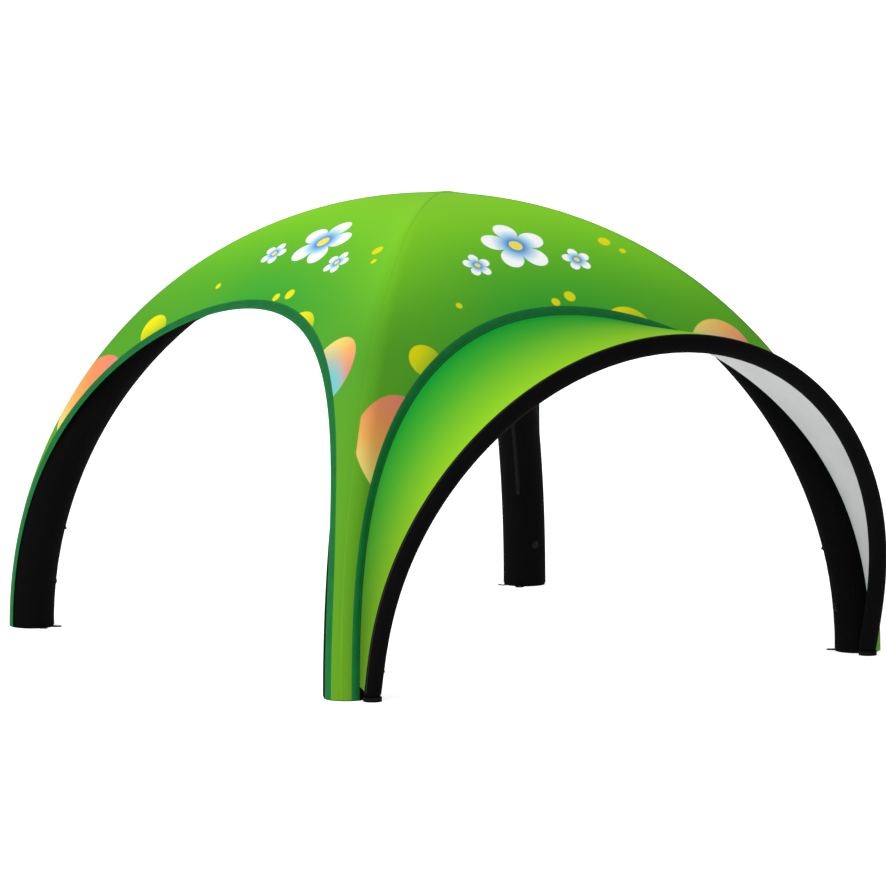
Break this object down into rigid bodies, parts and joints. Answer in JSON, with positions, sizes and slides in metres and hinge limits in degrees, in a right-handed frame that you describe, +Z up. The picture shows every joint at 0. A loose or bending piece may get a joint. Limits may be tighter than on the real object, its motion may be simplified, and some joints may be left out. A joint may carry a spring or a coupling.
{
  "type": "inflatable event tent",
  "caption": "Four-leg inflatable dome tent with crossing air arches, four open sides, a printed canopy and an arched front awning.",
  "frame": {"origin": "middle of the plan, awning included, on the ground", "axes": "+Z up, awning faces -Y, +X to the right seen from the front"},
  "size_m": [4.088, 4.7008, 2.8424],
  "materials": {
    "sleeve_cloth": "matt black coated polyester",
    "bladder_film": "milky TPU film",
    "foot_rubber": "matt",
    "ring_steel": "zinc plated",
    "zip_tape": "woven tape with coil teeth",
    "zip_metal": "dark nickel",
    "valve_plastic": "moulded",
    "cap_plastic": "moulded",
    "plunger_plastic": "moulded",
    "canopy_cloth": "printed polyester, green fade with yellow and pink spots",
    "awning_cloth": "printed polyester, green fade outside, light grey inside",
    "binding_cloth": "dark green tape",
    "webbing": "black polyester webbing",
    "eyelet_brass": "rolled eyelet"
  },
  "bodies": {
    "root": {"leg_sleeve_front_right": "sleeve_cloth", "leg_sleeve_rear_right": "sleeve_cloth", "leg_sleeve_rear_left": "sleeve_cloth", "leg_sleeve_front_left": "sleeve_cloth", "leg_bladder_front_right": "bladder_film", "leg_bladder_rear_right": "bladder_film", "leg_bladder_rear_left": "bladder_film", "leg_bladder_front_left": "bladder_film", "foot_pad_front_right": "foot_rubber", "foot_pad_rear_right": "foot_rubber", "foot_pad_rear_left": "foot_rubber", "foot_pad_front_left": "foot_rubber", "leg_zip_tape_front_right": "zip_tape", "leg_zip_tape_rear_right": "zip_tape", "leg_zip_tape_rear_left": "zip_tape", "leg_zip_tape_front_left": "zip_tape", "valve_body_front_right": "valve_plastic", "valve_body_rear_right": "valve_plastic", "valve_body_rear_left": "valve_plastic", "valve_body_front_left": "valve_plastic", "canopy_panel_front": "canopy_cloth", "canopy_panel_right": "canopy_cloth", "canopy_panel_rear": "canopy_cloth", "canopy_panel_left": "canopy_cloth", "opening_binding_front": "binding_cloth", "opening_binding_right": "binding_cloth", "opening_binding_rear": "binding_cloth", "opening_binding_left": "binding_cloth", "peg_eyelets": "eyelet_brass", "anchor_tabs": "webbing", "crown_tab": "webbing", "awning_canopy": "awning_cloth", "awning_zip_tape": "binding_cloth", "awning_foot_cups": "foot_rubber"},
    "valve_cap_body_front_right": {"valve_cap_front_right": "cap_plastic"},
    "valve_plunger_body_front_right": {"valve_plunger_front_right": "plunger_plastic"},
    "zip_slider_body_front_right": {"leg_zip_slider_front_right": "zip_metal"},
    "d_ring_body_front_right": {"d_ring_front_right": "ring_steel"},
    "valve_cap_body_rear_right": {"valve_cap_rear_right": "cap_plastic"},
    "valve_plunger_body_rear_right": {"valve_plunger_rear_right": "plunger_plastic"},
    "zip_slider_body_rear_right": {"leg_zip_slider_rear_right": "zip_metal"},
    "d_ring_body_rear_right": {"d_ring_rear_right": "ring_steel"},
    "valve_cap_body_rear_left": {"valve_cap_rear_left": "cap_plastic"},
    "valve_plunger_body_rear_left": {"valve_plunger_rear_left": "plunger_plastic"},
    "zip_slider_body_rear_left": {"leg_zip_slider_rear_left": "zip_metal"},
    "d_ring_body_rear_left": {"d_ring_rear_left": "ring_steel"},
    "valve_cap_body_front_left": {"valve_cap_front_left": "cap_plastic"},
    "valve_plunger_body_front_left": {"valve_plunger_front_left": "plunger_plastic"},
    "zip_slider_body_front_left": {"leg_zip_slider_front_left": "zip_metal"},
    "d_ring_body_front_left": {"d_ring_front_left": "ring_steel"},
    "awning_arch": {"awning_sleeve": "sleeve_cloth", "awning_bladder": "bladder_film", "awning_valve_body": "valve_plastic"},
    "awning_valve_cap_body": {"awning_valve_cap": "cap_plastic"},
    "awning_valve_plunger_body": {"awning_valve_plunger": "plunger_plastic"},
    "lamp_ring_body": {"lamp_ring": "ring_steel"}
  },
  "joints": [
    {"name": "valve_cap_turn_front_right", "type": "hinge", "parent": "root", "child": "valve_cap_body_front_right", "pos_m": [1.74626, -1.57235, 0.28341], "axis": [-0.9958, 0.0495, -0.0777], "range_deg": [0, 90]},
    {"name": "valve_plunger_press_front_right", "type": "slide", "parent": "root", "child": "valve_plunger_body_front_right", "axis": [0.9958, -0.0495, 0.0777], "range_m": [0, 0.006], "stiffness_N_per_m": 400, "springref_m": -0.003},
    {"name": "zip_run_front_right", "type": "hinge", "parent": "root", "child": "zip_slider_body_front_right", "pos_m": [0, 0.3064, 0.014], "axis": [-0.7071, -0.7071, 0], "range_deg": [0, 60]},
    {"name": "d_ring_lift_front_right", "type": "hinge", "parent": "root", "child": "d_ring_body_front_right", "pos_m": [1.91174, -1.41034, 0.0052], "axis": [0.9962, -0.0872, 0], "range_deg": [0, 110]},
    {"name": "valve_cap_turn_rear_right", "type": "hinge", "parent": "root", "child": "valve_cap_body_rear_right", "pos_m": [1.87874, 2.05266, 0.28341], "axis": [-0.0495, -0.9958, -0.0777], "range_deg": [0, 90]},
    {"name": "valve_plunger_press_rear_right", "type": "slide", "parent": "root", "child": "valve_plunger_body_rear_right", "axis": [0.0495, 0.9958, 0.0777], "range_m": [0, 0.006], "stiffness_N_per_m": 400, "springref_m": -0.003},
    {"name": "zip_run_rear_right", "type": "hinge", "parent": "root", "child": "zip_slider_body_rear_right", "pos_m": [0, 0.3064, 0.014], "axis": [0.7071, -0.7071, 0], "range_deg": [0, 60]},
    {"name": "d_ring_lift_rear_right", "type": "hinge", "parent": "root", "child": "d_ring_body_rear_right", "pos_m": [1.71674, 2.21814, 0.0052], "axis": [0.0872, 0.9962, 0], "range_deg": [0, 110]},
    {"name": "valve_cap_turn_rear_left", "type": "hinge", "parent": "root", "child": "valve_cap_body_rear_left", "pos_m": [-1.74626, 2.18514, 0.28341], "axis": [0.9958, -0.0495, -0.0777], "range_deg": [0, 90]},
    {"name": "valve_plunger_press_rear_left", "type": "slide", "parent": "root", "child": "valve_plunger_body_rear_left", "axis": [-0.9958, 0.0495, 0.0777], "range_m": [0, 0.006], "stiffness_N_per_m": 400, "springref_m": -0.003},
    {"name": "zip_run_rear_left", "type": "hinge", "parent": "root", "child": "zip_slider_body_rear_left", "pos_m": [0, 0.3064, 0.014], "axis": [0.7071, 0.7071, 0], "range_deg": [0, 60]},
    {"name": "d_ring_lift_rear_left", "type": "hinge", "parent": "root", "child": "d_ring_body_rear_left", "pos_m": [-1.91174, 2.02314, 0.0052], "axis": [-0.9962, 0.0872, 0], "range_deg": [0, 110]},
    {"name": "valve_cap_turn_front_left", "type": "hinge", "parent": "root", "child": "valve_cap_body_front_left", "pos_m": [-1.87874, -1.43986, 0.28341], "axis": [0.0495, 0.9958, -0.0777], "range_deg": [0, 90]},
    {"name": "valve_plunger_press_front_left", "type": "slide", "parent": "root", "child": "valve_plunger_body_front_left", "axis": [-0.0495, -0.9958, 0.0777], "range_m": [0, 0.006], "stiffness_N_per_m": 400, "springref_m": -0.003},
    {"name": "zip_run_front_left", "type": "hinge", "parent": "root", "child": "zip_slider_body_front_left", "pos_m": [0, 0.3064, 0.014], "axis": [-0.7071, 0.7071, 0], "range_deg": [0, 60]},
    {"name": "d_ring_lift_front_left", "type": "hinge", "parent": "root", "child": "d_ring_body_front_left", "pos_m": [-1.71674, -1.60534, 0.0052], "axis": [-0.0872, -0.9962, 0], "range_deg": [0, 110]},
    {"name": "awning_swing", "type": "hinge", "parent": "root", "child": "awning_arch", "pos_m": [0, -1.78994, 0.062], "axis": [-1, 0, 0], "range_deg": [0, 14], "deforming": ["awning_canopy"]},
    {"name": "awning_valve_cap_turn", "type": "hinge", "parent": "awning_arch", "child": "awning_valve_cap_body", "pos_m": [-1.78055, -1.81947, 0.18129], "axis": [1, -0.0021, 0.0086], "range_deg": [0, 90]},
    {"name": "awning_valve_plunger_press", "type": "slide", "parent": "awning_arch", "child": "awning_valve_plunger_body", "axis": [-1, 0.0021, -0.0086], "range_m": [0, 0.0036], "stiffness_N_per_m": 400, "springref_m": -0.002},
    {"name": "lamp_ring_swing", "type": "hinge", "parent": "root", "child": "lamp_ring_body", "pos_m": [0, 0.3064, 2.53943], "axis": [1, 0, 0], "range_deg": [-80, 80]}
  ]
}
